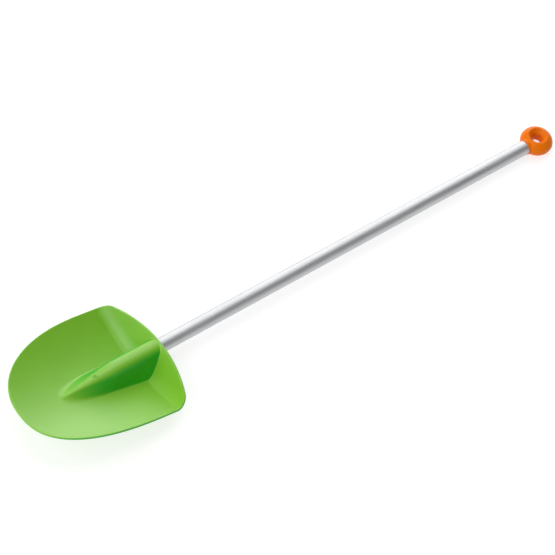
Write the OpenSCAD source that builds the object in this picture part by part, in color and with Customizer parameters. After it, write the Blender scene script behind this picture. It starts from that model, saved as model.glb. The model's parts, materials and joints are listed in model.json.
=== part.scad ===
// Small scoop shovel: a moulded scoop, a round tube handle and a ball knob with a hang hole.
// It lies on its heel and its knob, +X along the handle towards the knob, +Z up, units in mm.

/* [Scoop] */
// Length from the tip to the rear rim
scoop_l = 170.4; // [150:0.2:200]
// Greatest width
scoop_w = 144.6; // [130:0.2:160]
// Distance from the rear rim forward to the widest place
widest_from_rear = 44.4; // [38:0.2:50]
// Squareness of the front outline, where 2 is an ellipse
front_power = 2.4; // [2.1:0.02:2.6]
// Radius of the outline at the rear corners
corner_r = 16.6; // [14:0.1:24]
// Radius of the bow of the rear rim
rim_bow_r = 160; // [140:1:220]
// Wall thickness
wall_t = 2.4; // [2:0.1:3]

/* [Floor and rear wall] */
// Depth of the floor below the handle's axis at the crease
floor_depth = 20.6; // [18:0.1:22]
// Rise of the floor towards the tip, in mm per mm
floor_rise = 0.22; // [0.17:0.01:0.24]
// Rise of the floor from its middle to its sides
side_rise = 19; // [14:0.2:20]
// Distance from the rear rim forward to the crease
crease_from_rear = 18.2; // [16:0.1:22]
// Slope of the rear wall in degrees
rear_slope = 61; // [56:0.5:63]
// Radius of the bow of the crease
crease_bow_r = 209; // [200:1:300]
// Reach of the rounding between the floor and the rear wall
crease_blend = 14.6; // [8:0.2:16]

/* [Socket ridge] */
// Radius of the ridge's round top over the socket
ridge_r = 10.8; // [10.2:0.1:11.5]
// Slope of the ridge's sides from vertical over the socket, in degrees
ridge_draft = 22; // [20:1:30]
// Extra slope of the sides at the nose, in degrees
nose_draft = 43; // [20:1:45]
// Distance from the rear rim forward to where the ridge starts to taper
taper_from_rear = 58; // [58:0.5:66]
// Distance from the rear rim forward to the middle of the round nose
nose_from_rear = 117; // [110:0.5:125]
// Radius of the round nose
nose_r = 3.5; // [3.3:0.1:6]
// Reach of the rounding at the foot of the ridge
ridge_blend = 2.5; // [1.5:0.1:4]
// Depth of the socket bore
socket_l = 55; // [45:1:55]
// Outer radius of the sleeve round the socket bore
sleeve_r = 10.1; // [9.8:0.1:10.2]
// Number of cross ribs in the hollow under the ridge
rib_n = 5; // [2:1:5]

/* [Handle tube] */
// Outer diameter
tube_d = 16; // [16:0.1:16.2]
// Wall thickness
tube_t = 1; // [0.8:0.1:1.2]
// Distance from the rear rim to the middle of the knob
knob_from_rim = 515; // [300:1:900]
// Gap between the tube and its sockets, on the radius
fit_gap = 0.05; // [0.02:0.01:0.15]

/* [Knob] */
// Diameter seen from above
knob_d = 36.2; // [34:0.2:38]
// Height that the knob would have without its hole
knob_h = 24.6; // [24:0.2:32]
// Diameter of the hang hole at its waist
hole_d = 11; // [10:0.5:13]
// Diameter of the hang hole at its mouths
mouth_d = 21; // [17:0.5:21.5]
// Length of the straight waist of the hang hole
waist_l = 9.6; // [6:0.2:10]
// Distance from the tube's end to the middle of the knob
seat_from_middle = 11.5; // [11:0.1:12.5]
// Radius of the neck round the tube's end
neck_r = 8.8; // [8.7:0.1:10]
// Distance from the neck's open end to the middle of the knob
neck_from_middle = 17.4; // [16.5:0.1:20]
// Length of the spigot inside the tube
spigot_l = 26; // [16:1:40]

/* [Rivet] */
// Distance from the rear rim forward to the rivet
rivet_from_rear = 31; // [29:0.5:33]
// Shank diameter
rivet_d = 4; // [3.2:0.1:4.2]
// Head diameter
rivet_head_d = 8; // [7:0.5:8.5]

/* [Hidden] */
$fn = 64;
eps = 0.01;

// Outline of the scoop, seen from above: x runs back along the handle from the rear rim
half_w = scoop_w / 2;
widest_x = -widest_from_rear;
front_l = scoop_l - widest_from_rear;
corner_y = half_w - corner_r;
corner_x = sqrt(pow(rim_bow_r - corner_r, 2) - corner_y * corner_y) - rim_bow_r;
corner_angle = atan2(corner_y, corner_x + rim_bow_r);
bow_end_y = rim_bow_r * sin(corner_angle);
mid_angle = (90 + corner_angle) / 2;
rear_x = corner_x + corner_r * cos(mid_angle);
rear_y = corner_y + corner_r * sin(mid_angle);
front_y = 0.72 * half_w;
front_x = front_edge(front_y);

// x of the front edge at the distance y from the middle
function front_edge(y) =
    widest_x - front_l * pow(1 - pow(abs(y) / half_w, front_power), 1 / front_power);

// x of the rear edge: the bow, then the corner's arc
function rear_edge(y) =
    abs(y) < bow_end_y
        ? sqrt(rim_bow_r * rim_bow_r - y * y) - rim_bow_r
        : corner_x + sqrt(max(corner_r * corner_r - pow(abs(y) - corner_y, 2), 0));

// Distance of the side edge from the middle at x
function side_edge(x) =
    x < widest_x
        ? half_w * pow(1 - pow((widest_x - x) / front_l, front_power), 1 / front_power)
        : x < corner_x
            ? half_w
            : corner_y + sqrt(max(corner_r * corner_r - pow(x - corner_x, 2), 0));

// Larger of two heights, rounded where they meet within the reach k
function blend(a, b, k) =
    let (h = min(max(0.5 + 0.5 * (a - b) / k, 0), 1))
    b + (a - b) * h + k * h * (1 - h);

// Heights above the handle's axis
crease_x = -crease_from_rear;
function floor_z(x, y) = -floor_depth + floor_rise * (crease_x - x) + side_rise * pow(y / half_w, 2);
function crease_bow(y) = sqrt(pow(crease_bow_r, 2) - y * y) - crease_bow_r;
function rear_wall_z(x, y) = -floor_depth + (x - crease_x - crease_bow(y)) * tan(rear_slope);
function pan_z(x, y) = blend(floor_z(x, y), rear_wall_z(x, y), crease_blend);

// The ridge: a round top over two sloping sides, tapering to a round nose
taper_x = -taper_from_rear;
nose_x = -nose_from_rear;
nose_drop = 0.5;
function taper(x) = min(max((taper_x - x) / (taper_x - nose_x), 0), 1);
function ridge_round(t) = ridge_r + (nose_r - ridge_r) * t;
function ridge_slope(t) = ridge_draft + nose_draft * t;
function ridge_z(x, y) =
    let (
        t = taper(x),
        cap = min(max((nose_x - x) / nose_r, 0), 1),
        r = ridge_round(t) * sqrt(1 - cap * cap),
        slope = ridge_slope(t),
        inner_y = min(abs(y), r * cos(slope))
    )
    sqrt(r * r - inner_y * inner_y) - (abs(y) - inner_y) / tan(slope) - nose_drop * t;
function inside_z(x, y) = blend(pan_z(x, y), ridge_z(x, y), ridge_blend);

// Unit normal of the inside surface
slope_step = 0.05;
function inside_normal(x, y) =
    let (
        dx = (inside_z(x + slope_step, y) - inside_z(x - slope_step, y)) / (2 * slope_step),
        dy = (inside_z(x, y + slope_step) - inside_z(x, y - slope_step)) / (2 * slope_step),
        n = [-dx, -dy, 1]
    )
    n / norm(n);

// Grid over the scoop: u from the front edge to the rear edge, v from side to side
front_steps = 24;
rear_steps = 12;
rear_share = 0.24;
ridge_steps = 12;
side_steps = 9;
ridge_share = 0.28;
steps_u = front_steps + rear_steps;
steps_half = ridge_steps + side_steps;
steps_v = 2 * steps_half;
function grid_u(i) =
    i < front_steps
        ? (1 - rear_share) * i / front_steps
        : 1 - rear_share * (steps_u - i) / rear_steps;
function half_v(j) =
    j < ridge_steps
        ? ridge_share * j / ridge_steps
        : ridge_share + (1 - ridge_share) * (j - ridge_steps) / side_steps;
function grid_v(j) = j < steps_half ? -half_v(steps_half - j) : half_v(j - steps_half);
function plan_point(u, v) = [
    (1 - u) * front_edge(v * front_y) + u * rear_edge(v * rear_y),
    v * side_edge(front_x + u * (rear_x - front_x))
];
inside_points = [
    for (i = [0 : steps_u], j = [0 : steps_v])
    let (p = plan_point(grid_u(i), grid_v(j)))
    [p[0], p[1], inside_z(p[0], p[1])]
];
outside_points = [for (p = inside_points) p - wall_t * inside_normal(p[0], p[1])];

// Rest pose: the scoop stands on its heel, and the knob on the lip of its hang hole
row_n = steps_v + 1;
grid_n = (steps_u + 1) * row_n;
heel_z = min([for (p = outside_points) p[2]]);
heel_x = max([for (p = outside_points) if (p[2] < heel_z + eps) p[0]]);
knob_r = knob_d / 2;
knob_half_h = knob_h / 2;
mouth_r = mouth_d / 2;
lip_z = knob_half_h * sqrt(1 - pow(mouth_r / knob_r, 2));
rest_tilt = asin((-heel_z - lip_z) / (knob_from_rim + mouth_r - heel_x));
function rest_height(p) = p[2] * cos(rest_tilt) - p[0] * sin(rest_tilt);
function rest_x(p) = p[0] * cos(rest_tilt) + p[2] * sin(rest_tilt);
axis_height = -min([for (p = outside_points) rest_height(p)]);
tip_x = min([for (p = outside_points) rest_x(p)]);
knob_end_x = rest_x([knob_from_rim, 0, 0]) + knob_r;
middle_x = (tip_x + knob_end_x) / 2;

// Places and sizes that follow from the ones above
tube_r = tube_d / 2;
bore_r = tube_r + fit_gap;
tube_end_x = knob_from_rim - seat_from_middle;
end_wall = 2;
sleeve_end_x = -socket_l - end_wall;
pad_z = -sleeve_r - 1.9;
pad_r = rivet_head_d / 2 + 1.2;
rivet_hole_r = rivet_d / 2 + fit_gap;
head_t = 1;
bulb_r = 2.9;
bulb_l = 2.4;
mandrel_r = 1;
rib_t = 1.6;
rib_pitch = 18;
first_rib_x = -22;
gate_x = -79;
gate_r = 2.7;
gate_z = ridge_z(gate_x, 0) - 0.9;
nub_r = 0.7;
nub_h = 0.8;

// Puts a shape drawn about the handle's axis into the rest pose
module at_rest() {
    translate([-middle_x, 0, axis_height])
        rotate([0, rest_tilt, 0])
            children();
}

// A round bar along the handle's axis from x0 to x1
module bar(r, x0, x1) {
    translate([x0, 0, 0])
        rotate([0, 90, 0])
            cylinder(r = r, h = x1 - x0);
}

// The thin scoop with its ridge: inside grid, outside grid and the rim between them
module scoop_shell() {
    function at(i, j) = i * row_n + j;
    inside_faces = [
        for (i = [0 : steps_u - 1], j = [0 : steps_v - 1])
        let (a = at(i, j), b = at(i, j + 1), c = at(i + 1, j + 1), d = at(i + 1, j))
        each (j < steps_half) ? [[a, b, c], [a, c, d]] : [[a, b, d], [b, c, d]]
    ];
    outside_faces = [for (f = inside_faces) [f[2] + grid_n, f[1] + grid_n, f[0] + grid_n]];
    edge = concat(
        [for (j = [0 : steps_v - 1]) at(0, j)],
        [for (i = [0 : steps_u - 1]) at(i, steps_v)],
        [for (j = [steps_v : -1 : 1]) at(steps_u, j)],
        [for (i = [steps_u : -1 : 1]) at(i, 0)]
    );
    edge_n = len(edge);
    edge_faces = [
        for (k = [0 : edge_n - 1])
        let (a = edge[k], b = edge[(k + 1) % edge_n])
        each [[b, a, a + grid_n], [b, a + grid_n, b + grid_n]]
    ];
    polyhedron(
        points = concat(inside_points, outside_points),
        faces = concat(inside_faces, outside_faces, edge_faces),
        convexity = 6
    );
}

// A cross rib in the hollow under the ridge, ending inside its sloping walls
module cross_rib(x) {
    t = taper(x);
    slope = ridge_slope(t);
    r = ridge_round(t) - wall_t / 2;
    foot_y = (r - (pan_z(x, 0) + nose_drop * t) * sin(slope)) / cos(slope);
    low_z = pan_z(x, foot_y) - wall_t / 2;
    low_y = (r - (low_z + nose_drop * t) * sin(slope)) / cos(slope);
    high_y = r * cos(slope);
    high_z = r * sin(slope) - nose_drop * t;
    translate([x - rib_t / 2, 0, 0])
        rotate([90, 0, 90])
            linear_extrude(height = rib_t)
                polygon([[-low_y, low_z], [low_y, low_z], [high_y, high_z], [-high_y, high_z]]);
}

// The sunken moulding mark on top of the ridge, with the nub left in it
module gate_mark() {
    translate([gate_x, 0, gate_z])
        difference() {
            cylinder(r = gate_r, h = ridge_r);
            translate([0, 0, -eps])
                cylinder(r = nub_r, h = nub_h);
        }
}

module blade() {
    color([0.38, 0.66, 0.16])
        at_rest()
            difference() {
                union() {
                    scoop_shell();
                    bar(sleeve_r, sleeve_end_x, 0);
                    translate([-rivet_from_rear, 0, pad_z])
                        cylinder(r = pad_r, h = sleeve_r);
                    for (k = [0 : rib_n - 1])
                        cross_rib(first_rib_x - k * rib_pitch);
                }
                gate_mark();
                bar(bore_r, -socket_l, 5);
                translate([-rivet_from_rear, 0, pad_z - 1])
                    cylinder(r = rivet_hole_r, h = sleeve_r);
            }
}

module handle_tube() {
    color([0.78, 0.79, 0.8])
        at_rest()
            difference() {
                bar(tube_r, -socket_l, tube_end_x);
                bar(tube_r - tube_t, -socket_l - 1, tube_end_x + 1);
                translate([-rivet_from_rear, 0, -tube_d])
                    cylinder(r = rivet_hole_r, h = tube_d);
            }
}

// Half section of the knob's outside, an ellipse cut off at the mouth of the hang hole
profile_n = 24;
module knob_round() {
    mouth_angle = acos(mouth_r / knob_r);
    rotate_extrude()
        polygon(concat(
            [[0, -lip_z]],
            [
                for (k = [-profile_n : profile_n])
                let (a = mouth_angle * k / profile_n)
                [knob_r * cos(a), knob_half_h * sin(a)]
            ],
            [[0, lip_z]]
        ));
}

// One end of the hang hole, widening from the waist to the mouth
module mouth() {
    translate([0, 0, waist_l / 2])
        cylinder(r1 = hole_d / 2, r2 = mouth_r, h = lip_z - waist_l / 2 + eps);
}

module knob() {
    spigot_r = tube_r - tube_t - fit_gap;
    core_r = spigot_r - 2;
    color([0.86, 0.44, 0.06])
        at_rest()
            difference() {
                union() {
                    difference() {
                        union() {
                            translate([knob_from_rim, 0, 0])
                                knob_round();
                            bar(neck_r, knob_from_rim - neck_from_middle, knob_from_rim - hole_d / 2);
                        }
                        bar(bore_r, knob_from_rim - knob_d, tube_end_x);
                    }
                    bar(spigot_r, tube_end_x - spigot_l, tube_end_x + eps);
                }
                bar(core_r, tube_end_x - spigot_l - 1, tube_end_x - 1);
                translate([knob_from_rim, 0, -lip_z])
                    cylinder(r = hole_d / 2, h = 2 * lip_z);
                translate([knob_from_rim, 0, 0])
                    mouth();
                translate([knob_from_rim, 0, 0])
                    mirror([0, 0, 1])
                        mouth();
            }
}

// The blind rivet stands under the socket: head on the pad, bulb inside the tube
bulb_z = -tube_r + tube_t;
module rivet_body() {
    shank_r = rivet_d / 2;
    color([0.7, 0.71, 0.72])
        at_rest()
            translate([-rivet_from_rear, 0, 0])
                difference() {
                    union() {
                        translate([0, 0, pad_z - head_t])
                            cylinder(r1 = rivet_head_d / 2 - 0.7, r2 = rivet_head_d / 2, h = head_t);
                        translate([0, 0, pad_z - eps])
                            cylinder(r = shank_r, h = bulb_z + fit_gap - pad_z + 2 * eps);
                        translate([0, 0, bulb_z + fit_gap])
                            cylinder(r1 = shank_r, r2 = bulb_r, h = bulb_l / 2);
                        translate([0, 0, bulb_z + fit_gap + bulb_l / 2])
                            cylinder(r1 = bulb_r, r2 = shank_r, h = bulb_l / 2);
                    }
                    translate([0, 0, pad_z - head_t - 1])
                        cylinder(r = mandrel_r + fit_gap, h = 20);
                }
}

module rivet_mandrel() {
    stem_z = pad_z - head_t + 0.3;
    cap_z = bulb_z + bulb_l + 2 * fit_gap;
    color([0.45, 0.46, 0.48])
        at_rest()
            translate([-rivet_from_rear, 0, 0]) {
                translate([0, 0, stem_z])
                    cylinder(r = mandrel_r, h = cap_z - stem_z + eps);
                translate([0, 0, cap_z])
                    cylinder(r1 = 1.7, r2 = 1.2, h = 1.2);
            }
}

blade();
handle_tube();
knob();
rivet_body();
rivet_mandrel();
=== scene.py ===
"""A small scoop shovel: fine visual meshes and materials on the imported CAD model.

Shapes are drawn in millimetres about the handle: x runs along it from the middle of the
scoop's rear rim towards the knob, y to the left and z up. HANDLE carries them into the frame.
"""

import json
import math

import bmesh
import bpy
import numpy as np
from mathutils import Matrix, Vector


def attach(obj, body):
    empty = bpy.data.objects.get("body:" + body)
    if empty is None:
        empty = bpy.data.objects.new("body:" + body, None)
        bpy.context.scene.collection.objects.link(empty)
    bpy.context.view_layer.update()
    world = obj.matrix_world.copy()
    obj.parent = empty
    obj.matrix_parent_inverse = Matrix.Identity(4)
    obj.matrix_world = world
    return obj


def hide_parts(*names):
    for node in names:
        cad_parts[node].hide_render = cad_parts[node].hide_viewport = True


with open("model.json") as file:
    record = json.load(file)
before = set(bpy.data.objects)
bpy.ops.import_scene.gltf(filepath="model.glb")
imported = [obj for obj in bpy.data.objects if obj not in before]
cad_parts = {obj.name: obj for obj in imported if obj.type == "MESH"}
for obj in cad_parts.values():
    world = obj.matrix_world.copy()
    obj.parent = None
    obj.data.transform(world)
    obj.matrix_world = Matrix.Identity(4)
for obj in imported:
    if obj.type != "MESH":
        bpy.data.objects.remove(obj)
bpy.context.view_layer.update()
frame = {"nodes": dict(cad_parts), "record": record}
MM = 0.001

# ---------------------------------------------------------------- sizes, in mm
SCOOP_L = 170.4
HALF_W = 72.3
WIDEST_X = -44.4
FRONT_POWER = 2.4
CORNER_R = 16.6
RIM_BOW_R = 160.0
WALL_T = 2.4
EDGE_R = 0.7

FLOOR_DEPTH = 20.6
FLOOR_RISE = 0.22
SIDE_RISE = 19.0
CREASE_X = -18.2
REAR_SLOPE = math.radians(61)
CREASE_BOW_R = 209.0
CREASE_BLEND = 14.6

RIDGE_R = 10.8
NOSE_R = 3.5
RIDGE_DRAFT = math.radians(22)
NOSE_DRAFT = math.radians(43)
TAPER_X = -58.0
NOSE_X = -117.0
NOSE_DROP = 0.5
RIDGE_BLEND = 2.5

SOCKET_L = 55.0
SLEEVE_R = 10.1
END_WALL = 2.0
MOUTH_BEVEL = 0.6
RIB_N = 5
RIB_T = 1.6
RIB_PITCH = 18.0
FIRST_RIB_X = -22.0
GATE_X = -79.0
GATE_R = 2.7
GATE_DEPTH = 0.9
NUB_R = 0.7
NUB_H = 0.8

TUBE_R = 8.0
FIT_GAP = 0.05
RIM_TO_KNOB = 515.0

KNOB_R = 18.1
KNOB_HALF_H = 12.3
HOLE_R = 5.5
MOUTH_R = 10.5
WAIST_L = 9.6
SEAT_FROM_MIDDLE = 11.5
NECK_R = 8.8
NECK_FROM_MIDDLE = 17.4
SPIGOT_L = 26.0
SPIGOT_R = 6.95
SPIGOT_WALL = 2.0
LIP_REACH = 1.2
SEAM_H = 0.1
SEAM_W = 0.35

SLIVER = 0.002  # edges shorter than this are welded shut after cutting

RIVET_X = -31.0
RIVET_HOLE_R = 2.05
PAD_R = 5.2
PAD_Z = -12.0

# ---------------------------------------------------------------- the handle's own axes
mounts = {m["name"]: m for m in frame["record"]["mounts"]}
HANDLE_X = Vector(mounts["clip_zone"]["axis"])
HANDLE_Z = Vector(mounts["hang_hole"]["axis"])
KNOB_MIDDLE = Vector(mounts["hang_hole"]["pos_m"])
RIM_MIDDLE = KNOB_MIDDLE - HANDLE_X * RIM_TO_KNOB * MM
HANDLE = Matrix.Translation(RIM_MIDDLE) @ Matrix(
    (HANDLE_X, HANDLE_Z.cross(HANDLE_X), HANDLE_Z)
).transposed().to_4x4()


def standing_at(x, z=0.0):
    """Matrix for a turned shape whose axis stands upright on the handle at x."""
    return Matrix.Translation((x, 0, z))


ALONG_HANDLE = Matrix.Rotation(math.pi / 2, 4, "Y")

# ---------------------------------------------------------------- the scoop's outline, from above
FRONT_L = SCOOP_L + WIDEST_X
CORNER_Y = HALF_W - CORNER_R
CORNER_X = math.sqrt((RIM_BOW_R - CORNER_R) ** 2 - CORNER_Y**2) - RIM_BOW_R
CORNER_ANGLE = math.atan2(CORNER_Y, CORNER_X + RIM_BOW_R)
BOW_END_Y = RIM_BOW_R * math.sin(CORNER_ANGLE)
MID_ANGLE = (math.pi / 2 + CORNER_ANGLE) / 2
REAR_X = CORNER_X + CORNER_R * math.cos(MID_ANGLE)
REAR_Y = CORNER_Y + CORNER_R * math.sin(MID_ANGLE)
FRONT_Y = 0.72 * HALF_W


def front_edge(y):
    """x of the front edge at the distance y from the middle."""
    return WIDEST_X - FRONT_L * (1 - (np.abs(y) / HALF_W) ** FRONT_POWER) ** (1 / FRONT_POWER)


def rear_edge(y):
    """x of the rear edge: the bow, then the corner's arc."""
    bow = np.sqrt(RIM_BOW_R**2 - y**2) - RIM_BOW_R
    corner = CORNER_X + np.sqrt(np.maximum(CORNER_R**2 - (np.abs(y) - CORNER_Y) ** 2, 0))
    return np.where(np.abs(y) < BOW_END_Y, bow, corner)


def side_edge(x):
    """Distance of the side edge from the middle at x."""
    ahead = np.clip((WIDEST_X - x) / FRONT_L, 0, 1)
    front = HALF_W * (1 - ahead**FRONT_POWER) ** (1 / FRONT_POWER)
    corner = CORNER_Y + np.sqrt(np.maximum(CORNER_R**2 - np.maximum(x - CORNER_X, 0) ** 2, 0))
    return np.where(x < WIDEST_X, front, np.where(x < CORNER_X, HALF_W, corner))


FRONT_X = float(front_edge(FRONT_Y))

# ---------------------------------------------------------------- the scoop's inside, as heights


def blend(a, b, reach):
    """Larger of two heights, rounded where they meet."""
    h = np.clip(0.5 + 0.5 * (a - b) / reach, 0, 1)
    return b + (a - b) * h + reach * h * (1 - h)


def floor_z(x, y):
    return -FLOOR_DEPTH + FLOOR_RISE * (CREASE_X - x) + SIDE_RISE * (y / HALF_W) ** 2


def rear_wall_z(x, y):
    bow = np.sqrt(CREASE_BOW_R**2 - y**2) - CREASE_BOW_R
    return -FLOOR_DEPTH + (x - CREASE_X - bow) * math.tan(REAR_SLOPE)


def ridge_section(x):
    """Radius of the ridge's round top, the slope of its sides, and how far it has tapered."""
    t = np.clip((TAPER_X - x) / (TAPER_X - NOSE_X), 0, 1)
    return RIDGE_R + (NOSE_R - RIDGE_R) * t, RIDGE_DRAFT + NOSE_DRAFT * t, t


def ridge_z(x, y):
    radius, slope, t = ridge_section(x)
    cap = np.clip((NOSE_X - x) / NOSE_R, 0, 1)
    radius = radius * np.sqrt(1 - cap**2)
    inner_y = np.minimum(np.abs(y), radius * np.cos(slope))
    side = (np.abs(y) - inner_y) / np.tan(slope)
    return np.sqrt(radius**2 - inner_y**2) - side - NOSE_DROP * t


def pan_z(x, y):
    return blend(floor_z(x, y), rear_wall_z(x, y), CREASE_BLEND)


def inside_z(x, y):
    return blend(pan_z(x, y), ridge_z(x, y), RIDGE_BLEND)


def unit(vectors):
    return vectors / np.linalg.norm(vectors, axis=-1, keepdims=True)


def inside_slopes(x, y, step=0.02):
    dx = (inside_z(x + step, y) - inside_z(x - step, y)) / (2 * step)
    dy = (inside_z(x, y + step) - inside_z(x, y - step)) / (2 * step)
    return dx, dy


# ---------------------------------------------------------------- meshes
def mesh_object(name, verts, faces):
    mesh = bpy.data.meshes.new(name)
    mesh.from_pydata([tuple(v) for v in verts], [], faces)
    mesh.validate()
    obj = bpy.data.objects.new(name, mesh)
    bpy.context.scene.collection.objects.link(obj)
    return obj


def turned(name, profile, matrix, segments=96, ring=False):
    """A solid of revolution from (radius, height) points, listed upwards on its outside.
    A ring's profile is a closed loop; otherwise its ends close on the axis."""
    if not ring:
        profile = [(0.0, profile[0][1]), *profile, (0.0, profile[-1][1])]
    bm = bmesh.new()
    angles = [2 * math.pi * k / segments for k in range(segments)]
    rings = []
    for radius, height in profile:
        if radius == 0:
            rings.append([bm.verts.new((0, 0, height))] * segments)
        else:
            rings.append(
                [bm.verts.new((radius * math.cos(a), radius * math.sin(a), height)) for a in angles]
            )
    pairs = list(zip(rings, rings[1:]))
    if ring:
        pairs.append((rings[-1], rings[0]))
    for low, high in pairs:
        for k in range(segments):
            n = (k + 1) % segments
            corners = list(dict.fromkeys((low[k], low[n], high[n], high[k])))
            bm.faces.new(corners)
    mesh = bpy.data.meshes.new(name)
    bm.to_mesh(mesh)
    bm.free()
    mesh.transform(matrix)
    obj = bpy.data.objects.new(name, mesh)
    bpy.context.scene.collection.objects.link(obj)
    return obj


def rounded(points, reaches, steps=6):
    """The points with each corner that has a reach turned into a short curve."""
    out = []
    for k, (corner, reach) in enumerate(zip(points, reaches)):
        if not reach:
            out.append(tuple(corner))
            continue
        corner = Vector(corner)
        before = corner + (Vector(points[k - 1]) - corner).normalized() * reach
        after = corner + (Vector(points[(k + 1) % len(points)]) - corner).normalized() * reach
        for s in np.linspace(0, 1, steps + 1):
            out.append(tuple(before * (1 - s) ** 2 + corner * 2 * s * (1 - s) + after * s**2))
    return out


def combine(target, operation, *tools):
    """Adds the tools to the target or cuts them from it, and takes them away."""
    for tool in tools:
        step = target.modifiers.new(operation, "BOOLEAN")
        step.operation = operation
        step.solver = "MANIFOLD"
        step.object = tool
    depsgraph = bpy.context.evaluated_depsgraph_get()
    mesh = bpy.data.meshes.new_from_object(target.evaluated_get(depsgraph))
    target.modifiers.clear()
    target.data = mesh
    for tool in tools:
        bpy.data.objects.remove(tool)
    return target


def finished(obj, sharp_degrees=35):
    """Slivers welded, smooth shading with crisp edges, then out of mm into the frame."""
    mesh = obj.data
    bm = bmesh.new()
    bm.from_mesh(mesh)
    bmesh.ops.remove_doubles(bm, verts=bm.verts, dist=SLIVER)
    bmesh.ops.dissolve_degenerate(bm, edges=bm.edges, dist=SLIVER)
    bmesh.ops.triangulate(bm, faces=[f for f in bm.faces if len(f.verts) > 4])
    bm.to_mesh(mesh)
    bm.free()
    mesh.shade_smooth()
    mesh.set_sharp_from_angle(angle=math.radians(sharp_degrees))
    mesh.transform(HANDLE @ Matrix.Diagonal((MM, MM, MM, 1)))
    mesh.update()
    return obj


# ---------------------------------------------------------------- the scoop
def spaced(count, split, share):
    """Even steps from 0 to 1, of which count * split lie in the first share."""
    first = round(count * split)
    return np.concatenate([
        np.linspace(0, share, first, endpoint=False),
        np.linspace(share, 1, count - first + 1),
    ])


def plan_grid():
    """x and y of a fine grid over the scoop, from the front edge to the rear and from side to side."""
    u = spaced(200, 0.64, 0.76)[:, None]
    half = spaced(108, 0.42, 0.28)
    v = np.concatenate([-half[:0:-1], half])[None, :]
    x = (1 - u) * front_edge(v * FRONT_Y) + u * rear_edge(v * REAR_Y)
    y = v * side_edge(FRONT_X + u * (REAR_X - FRONT_X))
    return x, y


def loop_of(grid):
    """The grid's outer row as one closed loop."""
    return np.concatenate([grid[0, :-1], grid[:-1, -1], grid[-1, :0:-1], grid[:0:-1, 0]])


def moved_inwards(x, y, distance):
    """The grid with its edge moved in by a distance, and the inside following smoothly."""
    outline = loop_of(np.stack([x, y], -1))
    along = unit(np.roll(outline, -1, 0) - np.roll(outline, 1, 0))
    outwards = np.stack([along[:, 1], -along[:, 0]], -1)
    outwards *= np.sign((outwards * (outline - outline.mean(0))).sum())
    rows, columns = x.shape
    inwards = -distance * outwards
    corners = np.cumsum([0, columns - 1, rows - 1, columns - 1])
    front = inwards[: columns]
    right = inwards[corners[1] : corners[1] + rows]
    rear = inwards[corners[2] : corners[2] + columns][::-1]
    left = np.concatenate([inwards[corners[3] :], inwards[:1]])[::-1]
    u = np.linspace(0, 1, rows)[:, None, None]
    v = np.linspace(0, 1, columns)[None, :, None]
    shift = (1 - u) * front[None] + u * rear[None] + (1 - v) * left[:, None] + v * right[:, None]
    shift -= (1 - u) * ((1 - v) * front[0] + v * front[-1]) + u * ((1 - v) * rear[0] + v * rear[-1])
    return x + shift[..., 0], y + shift[..., 1], outwards


def scoop_shell():
    """The thin scoop with its ridge, closed round its edge by a rounded rim."""
    x, y, outwards = moved_inwards(*plan_grid(), EDGE_R)
    slope_x, slope_y = inside_slopes(x, y)
    normal = unit(np.stack([-slope_x, -slope_y, np.ones_like(x)], -1))
    inside = np.stack([x, y, inside_z(x, y)], -1)
    outside = inside - WALL_T * normal
    above_ground = RIM_MIDDLE.z / MM + outside[..., 0] * HANDLE_X.z + outside[..., 2] * HANDLE_Z.z
    outside[..., 2] += np.maximum(-above_ground, 0)
    rows, columns = x.shape
    number = np.arange(rows * columns).reshape(rows, columns)

    top = loop_of(inside)
    up = loop_of(normal)
    rise = loop_of(slope_x) * outwards[:, 0] + loop_of(slope_y) * outwards[:, 1]
    out = unit(np.column_stack([outwards, rise]))
    rim = []
    for angle in np.radians([18, 36, 54, 72, 90]):
        rim.append(top + EDGE_R * (out * math.sin(angle) + up * (math.cos(angle) - 1)))
    for angle in np.radians([0, 18, 36, 54, 72]):
        round_edge = EDGE_R * (out * math.cos(angle) - up * math.sin(angle))
        rim.append(top - (WALL_T - EDGE_R) * up + round_edge)

    size = number.size
    verts = np.concatenate([inside.reshape(-1, 3), outside.reshape(-1, 3), *rim])
    loops = [loop_of(number)]
    loops += [2 * size + k * len(top) + np.arange(len(top)) for k in range(len(rim))]
    loops.append(loop_of(number) + size)
    cells = np.stack([number[:-1, :-1], number[1:, :-1], number[1:, 1:], number[:-1, 1:]], -1)
    cells = cells.reshape(-1, 4)
    faces = cells.tolist() + (cells[:, ::-1] + size).tolist()
    for a, b in zip(loops, loops[1:]):
        faces += np.stack([a, np.roll(a, -1), np.roll(b, -1), b], -1).tolist()
    return mesh_object("scoop_moulding", verts, faces)


def cross_rib(x):
    """A cross rib in the hollow under the ridge, ending inside its sloping walls."""
    radius, slope, t = (float(n) for n in ridge_section(x))
    radius -= WALL_T / 2
    foot_y = (radius - (float(pan_z(x, 0)) + NOSE_DROP * t) * math.sin(slope)) / math.cos(slope)
    low_z = float(pan_z(x, foot_y)) - WALL_T / 2
    low_y = (radius - (low_z + NOSE_DROP * t) * math.sin(slope)) / math.cos(slope)
    high_y = radius * math.cos(slope)
    high_z = radius * math.sin(slope) - NOSE_DROP * t
    section = [(-low_y, low_z), (low_y, low_z), (high_y, high_z), (-high_y, high_z)]
    verts = [(x + side * RIB_T / 2, a, b) for side in (-1, 1) for a, b in section]
    faces = [(3, 2, 1, 0), (4, 5, 6, 7)]
    faces += [(k, (k + 1) % 4, (k + 1) % 4 + 4, k + 4) for k in range(4)]
    return mesh_object("rib", verts, faces)


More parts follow.
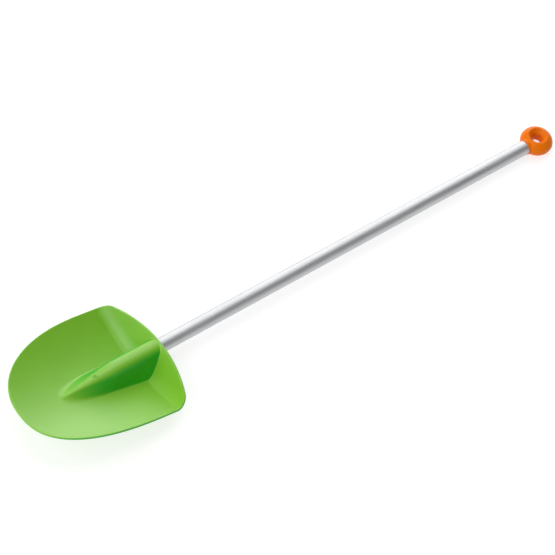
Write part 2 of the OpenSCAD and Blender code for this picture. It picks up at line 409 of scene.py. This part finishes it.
def make_scoop():
    scoop = scoop_shell()
    sleeve_end = -SOCKET_L - END_WALL
    sleeve_corners = [(0, sleeve_end), (SLEEVE_R, sleeve_end), (SLEEVE_R, 0), (0, 0)]
    sleeve = turned("sleeve", rounded(sleeve_corners, [0, 0.5, 0.6, 0])[1:-1], ALONG_HANDLE)
    pad_corners = [(0, PAD_Z), (PAD_R, PAD_Z), (PAD_R, 0)]
    pad = turned("pad", rounded(pad_corners, [0, 0.5, 0])[1:], standing_at(RIVET_X), 48)
    ribs = [cross_rib(FIRST_RIB_X - k * RIB_PITCH) for k in range(RIB_N)]
    combine(scoop, "UNION", sleeve, pad, *ribs)
    bore_r = TUBE_R + FIT_GAP
    wide_r = bore_r + MOUTH_BEVEL
    bore_profile = [(bore_r, -SOCKET_L), (bore_r, -MOUTH_BEVEL), (wide_r, 0), (wide_r, 5)]
    bore = turned("bore", bore_profile, ALONG_HANDLE)
    rivet_profile = [(RIVET_HOLE_R, PAD_Z - 1), (RIVET_HOLE_R, 0)]
    rivet_hole = turned("rivet_hole", rivet_profile, standing_at(RIVET_X), 48)
    gate_z = float(ridge_z(GATE_X, 0.0)) - GATE_DEPTH
    gate_profile = rounded(
        [(NUB_R * 0.3, gate_z + NUB_H), (NUB_R, gate_z), (GATE_R - 0.5, gate_z), (GATE_R, gate_z + 5)],
        [0.15, 0.25, 0.5, 0],
    )
    gate = turned("gate", gate_profile, standing_at(GATE_X), 48)
    combine(scoop, "DIFFERENCE", bore, rivet_hole, gate)
    return finished(scoop)


# ---------------------------------------------------------------- the knob
def make_knob():
    lip_z = KNOB_HALF_H * math.sqrt(1 - (MOUTH_R / KNOB_R) ** 2)
    mouth_angle = math.acos(MOUTH_R / KNOB_R)
    outside = []
    top_angle = mouth_angle - LIP_REACH / KNOB_HALF_H
    for a in np.linspace(-top_angle, top_angle, 61):
        seam = SEAM_H * math.exp(-((a * KNOB_R / SEAM_W) ** 2))
        outside.append(((KNOB_R - SEAM_H + seam) * math.cos(a), KNOB_HALF_H * math.sin(a)))
    half_waist = WAIST_L / 2
    corners = [
        *outside,
        (MOUTH_R, lip_z),
        (HOLE_R, half_waist),
        (HOLE_R, -half_waist),
        (MOUTH_R, -lip_z),
    ]
    reaches = [0] * len(outside) + [LIP_REACH, 1.5, 1.5, LIP_REACH]
    knob = turned("knob_moulding", rounded(corners, reaches), standing_at(RIM_TO_KNOB), 128, ring=True)
    neck_start = RIM_TO_KNOB - NECK_FROM_MIDDLE
    neck_profile = [(NECK_R, neck_start), (NECK_R, RIM_TO_KNOB - MOUTH_R - 0.2)]
    neck = turned("neck", rounded([(0, neck_start), *neck_profile], [0, 0.4, 0])[1:], ALONG_HANDLE)
    combine(knob, "UNION", neck)
    tube_end = RIM_TO_KNOB - SEAT_FROM_MIDDLE
    seat_r = TUBE_R + FIT_GAP
    seat = turned("seat", [(seat_r, tube_end - 20), (seat_r, tube_end)], ALONG_HANDLE)
    combine(knob, "DIFFERENCE", seat)
    spigot_profile = [
        (SPIGOT_R, tube_end - SPIGOT_L),
        (SPIGOT_R, tube_end + 0.01),
        (SPIGOT_R - SPIGOT_WALL, tube_end + 0.01),
        (SPIGOT_R - SPIGOT_WALL, tube_end - SPIGOT_L),
    ]
    spigot = turned("spigot", rounded(spigot_profile, [0.5, 0, 0, 0.3]), ALONG_HANDLE, 96, ring=True)
    combine(knob, "UNION", spigot)
    return finished(knob)


# ---------------------------------------------------------------- materials
class Nodes:
    """A short way to write the nodes of a material or of the world."""

    def __init__(self, owner, shader="Principled BSDF"):
        owner.use_nodes = True
        self.owner = owner
        self.tree = owner.node_tree
        self.shader = self.tree.nodes[shader]

    def add(self, kind, inputs=(), **settings):
        node = self.tree.nodes.new("ShaderNode" + kind)
        for key, value in settings.items():
            setattr(node, key, value)
        for key, value in dict(inputs).items():
            if isinstance(value, bpy.types.NodeSocket):
                self.tree.links.new(value, node.inputs[key])
            else:
                node.inputs[key].default_value = value
        return node

    def handle_mm(self, stretch=(1, 1, 1)):
        """Places on the object in mm along the handle's own axes, times a stretch."""
        places = self.add("TexCoord").outputs["Object"]
        turn = HANDLE.to_3x3().inverted().to_euler()
        straight = self.add("Mapping", {"Vector": places, "Rotation": turn}).outputs["Vector"]
        scale = [s / MM for s in stretch]
        return self.add("Mapping", {"Vector": straight, "Scale": scale}).outputs["Vector"]

    def noise(self, per_mm, detail=4.0, stretch=(1, 1, 1), rough=0.5):
        inputs = {"Vector": self.handle_mm(stretch), "Scale": per_mm}
        inputs.update({"Detail": detail, "Roughness": rough})
        return self.add("TexNoise", inputs).outputs["Fac"]

    def between(self, value, low, high, low_in=0.3, high_in=0.7):
        """The value's range low_in to high_in carried to low to high."""
        ranges = {"Value": value, "From Min": low_in, "From Max": high_in}
        ranges.update({"To Min": low, "To Max": high})
        return self.add("MapRange", ranges).outputs["Result"]

    def mix(self, factor, a, b):
        node = self.add("Mix", data_type="RGBA")
        for key, value in (("Factor", factor), ("A", a), ("B", b)):
            sockets = [s for s in node.inputs if s.name == key and s.enabled]
            if isinstance(value, bpy.types.NodeSocket):
                self.tree.links.new(value, sockets[0])
            else:
                sockets[0].default_value = (*value, 1) if isinstance(value, tuple) else value
        return next(s for s in node.outputs if s.enabled)

    def math(self, operation, a, b):
        return self.add("Math", {0: a, 1: b}, operation=operation).outputs[0]

    def bump(self, height, distance_mm, strength=1.0, under=None):
        inputs = {"Height": height, "Distance": distance_mm * MM, "Strength": strength}
        if under is not None:
            inputs["Normal"] = under
        return self.add("Bump", inputs).outputs["Normal"]

    def finish(self, **inputs):
        for key, value in inputs.items():
            socket = self.shader.inputs[key.replace("_", " ")]
            if isinstance(value, bpy.types.NodeSocket):
                self.tree.links.new(value, socket)
            else:
                socket.default_value = value
        return self.owner


def material(name):
    return Nodes(bpy.data.materials.new(name))


def scoop_plastic():
    n = material("scoop_plastic")
    flow = n.noise(0.02, detail=2)
    colour = n.mix(n.between(flow, 0, 1), (0.165, 0.46, 0.003), (0.185, 0.49, 0.004))
    # painted shade: surfaces that face sideways, such as the ridge's sides, are painted a deeper,
    # purer green that stands in for the shade and green bounce light on them
    facing = n.add("SeparateXYZ", {0: n.add("TexCoord").outputs["Normal"]}).outputs["Y"]
    sideways_shade = n.between(n.math("ABSOLUTE", facing, 0), 0, 1, 0.45, 0.85)
    colour = n.mix(sideways_shade, colour, (0.008, 0.40, 0.001))
    edges = n.between(n.add("NewGeometry").outputs["Pointiness"], 0, 0.35, 0.54, 0.62)
    rubbed = n.math("MULTIPLY", edges, n.between(n.noise(0.12, detail=5), 0, 1, 0.45, 0.65))
    colour = n.mix(rubbed, colour, (0.30, 0.50, 0.08))
    grain = n.noise(2.2, detail=3)
    scuffs = n.noise(0.35, detail=6, stretch=(0.12, 1, 1))
    roughness = n.math("ADD", n.between(grain, 0.40, 0.46), n.between(scuffs, 0, 0.05, 0.55, 0.8))
    waves = n.bump(n.noise(0.05, detail=1), 0.25)
    surface = n.bump(grain, 0.012, under=waves)
    look = {"Base_Color": colour, "Roughness": roughness, "Normal": surface}
    return n.finish(**look, IOR=1.5, Specular_IOR_Level=0.9)


def knob_plastic():
    n = material("knob_plastic")
    flow = n.noise(0.08, detail=2)
    colour = n.mix(n.between(flow, 0, 1), (0.74, 0.150, 0.0005), (0.80, 0.170, 0.0005))
    grain = n.noise(1.8, detail=3)
    roughness = n.between(grain, 0.30, 0.38)
    surface = n.bump(grain, 0.01)
    look = {"Base_Color": colour, "Roughness": roughness, "Normal": surface}
    return n.finish(**look, IOR=1.5, Specular_IOR_Level=0.12)


def drawn_metal(name, light, dark, rough_low, rough_high, per_mm=1.4, stretch=(0.015, 1, 1)):
    """Metal with a fine grain along the handle."""
    n = material(name)
    grain = n.noise(per_mm, detail=5, stretch=stretch, rough=0.65)
    cloud = n.noise(0.03, detail=3)
    colour = n.mix(n.between(grain, 0, 1), dark, light)
    roughness = n.math("ADD", n.between(grain, rough_low, rough_high), n.between(cloud, -0.02, 0.02))
    surface = n.bump(grain, 0.006)
    return n.finish(Base_Color=colour, Metallic=1.0, Roughness=roughness, Normal=surface)


def floor_paper():
    n = material("floor_paper")
    fibre = n.noise(0.5, detail=4)
    colour = n.mix(n.between(fibre, 0, 1), (0.34, 0.34, 0.34), (0.36, 0.36, 0.36))
    look = {"Base_Color": colour, "Roughness": 0.9, "Normal": n.bump(fibre, 0.02)}
    return n.finish(**look, Emission_Color=(1, 1, 1, 1), Emission_Strength=0.72)


def dress(obj, material):
    if obj.material_slots:
        obj.material_slots[0].material = material
    else:
        obj.data.materials.append(material)


# ---------------------------------------------------------------- stage
def make_floor():
    half = 12.0
    corners = [(-half, -half, 0), (half, -half, 0), (half, half, 0), (-half, half, 0)]
    floor = mesh_object("floor", corners, [(0, 1, 2, 3)])
    dress(floor, floor_paper())


def direction(azimuth, elevation):
    """Unit vector towards a compass direction about the handle, with azimuth 0 along -y."""
    a, e = math.radians(azimuth), math.radians(elevation)
    return Vector((math.sin(a) * math.cos(e), -math.cos(a) * math.cos(e), math.sin(e)))


def make_camera():
    """The camera's place is worked out about a point on the handle, in mm."""
    aim = Vector((158.7, 4.4, 0))
    azimuth, elevation, roll = -48.9, 53.3, 14.06
    back = direction(azimuth, elevation)
    right = Vector((math.cos(math.radians(azimuth)), math.sin(math.radians(azimuth)), 0))
    up = back.cross(right)
    turn = math.radians(roll)
    rolled_right = right * math.cos(turn) + up * math.sin(turn)
    rolled_up = up * math.cos(turn) - right * math.sin(turn)
    place = Matrix((rolled_right, rolled_up, back)).transposed().to_4x4()
    place.translation = (aim + back * 3172.2) * MM
    data = bpy.data.cameras.new("camera")
    data.lens = 198.15
    data.sensor_width = 36
    data.clip_end = 100
    camera = bpy.data.objects.new("camera", data)
    camera.matrix_world = HANDLE @ place
    bpy.context.scene.collection.objects.link(camera)
    bpy.context.scene.camera = camera


# Softboxes in the sky as azimuth and elevation, added radiance (negative dims the sky), and the
# angles from their middle at which they start to fade and have faded out, all angles in degrees
SOFTBOXES = [
    (20, 25, -0.35, 10, 60),
    (95, 40, -0.35, 10, 45),
    (-100, 36, 1.9, 10, 40),
    (138, 62, 2.0, 8, 32),
    (138, 9, 2.8, 8, 33),
]


def make_light():
    """A soft sky, brighter at the horizon, with softboxes at the tip and behind the far side."""
    n = Nodes(bpy.data.worlds.new("studio"), "Background")
    bpy.context.scene.world = n.owner
    ray = n.add("TexCoord").outputs["Generated"]

    def softbox(azimuth, elevation, radiance, inner, outer):
        towards = direction(azimuth, elevation)
        facing = n.add("VectorMath", {0: ray, 1: towards}, operation="DOT_PRODUCT").outputs["Value"]
        ranges = {"Value": facing, "To Min": 0, "To Max": radiance}
        ranges["From Min"] = math.cos(math.radians(outer))
        ranges["From Max"] = math.cos(math.radians(inner))
        node = n.add("MapRange", ranges, interpolation_type="SMOOTHSTEP")
        return node.outputs["Result"]

    height = n.add("SeparateXYZ", {0: ray}).outputs["Z"]
    level = n.math("ABSOLUTE", height, 0)
    light = n.between(level, 0.9, 0.55, 0.05, 0.16)
    for box in SOFTBOXES:
        light = n.math("ADD", light, softbox(*box))
    light = n.math("MAXIMUM", light, n.between(level, 1.05, 0, 0.04, 0.06))
    n.finish(Color=(1, 1, 1, 1), Strength=light)
    bpy.context.scene.view_settings.view_transform = "Standard"


# ---------------------------------------------------------------- the shovel
scoop = make_scoop()
dress(scoop, scoop_plastic())
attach(scoop, "root")
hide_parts("blade")

knob = make_knob()
dress(knob, knob_plastic())
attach(knob, "root")
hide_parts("knob")

nodes = frame["nodes"]
PLAIN = {"per_mm": 3, "stretch": (1, 1, 1)}
tube = drawn_metal("tube_aluminium", (0.64, 0.65, 0.66), (0.52, 0.53, 0.54), 0.50, 0.60)
rivet = drawn_metal("rivet_aluminium", (0.70, 0.71, 0.72), (0.58, 0.59, 0.60), 0.32, 0.45, **PLAIN)
steel = drawn_metal("rivet_steel", (0.42, 0.43, 0.45), (0.30, 0.31, 0.32), 0.35, 0.50, **PLAIN)
dress(nodes["handle_tube"], tube)
dress(nodes["rivet_body"], rivet)
dress(nodes["rivet_mandrel"], steel)

make_floor()
make_camera()
make_light()
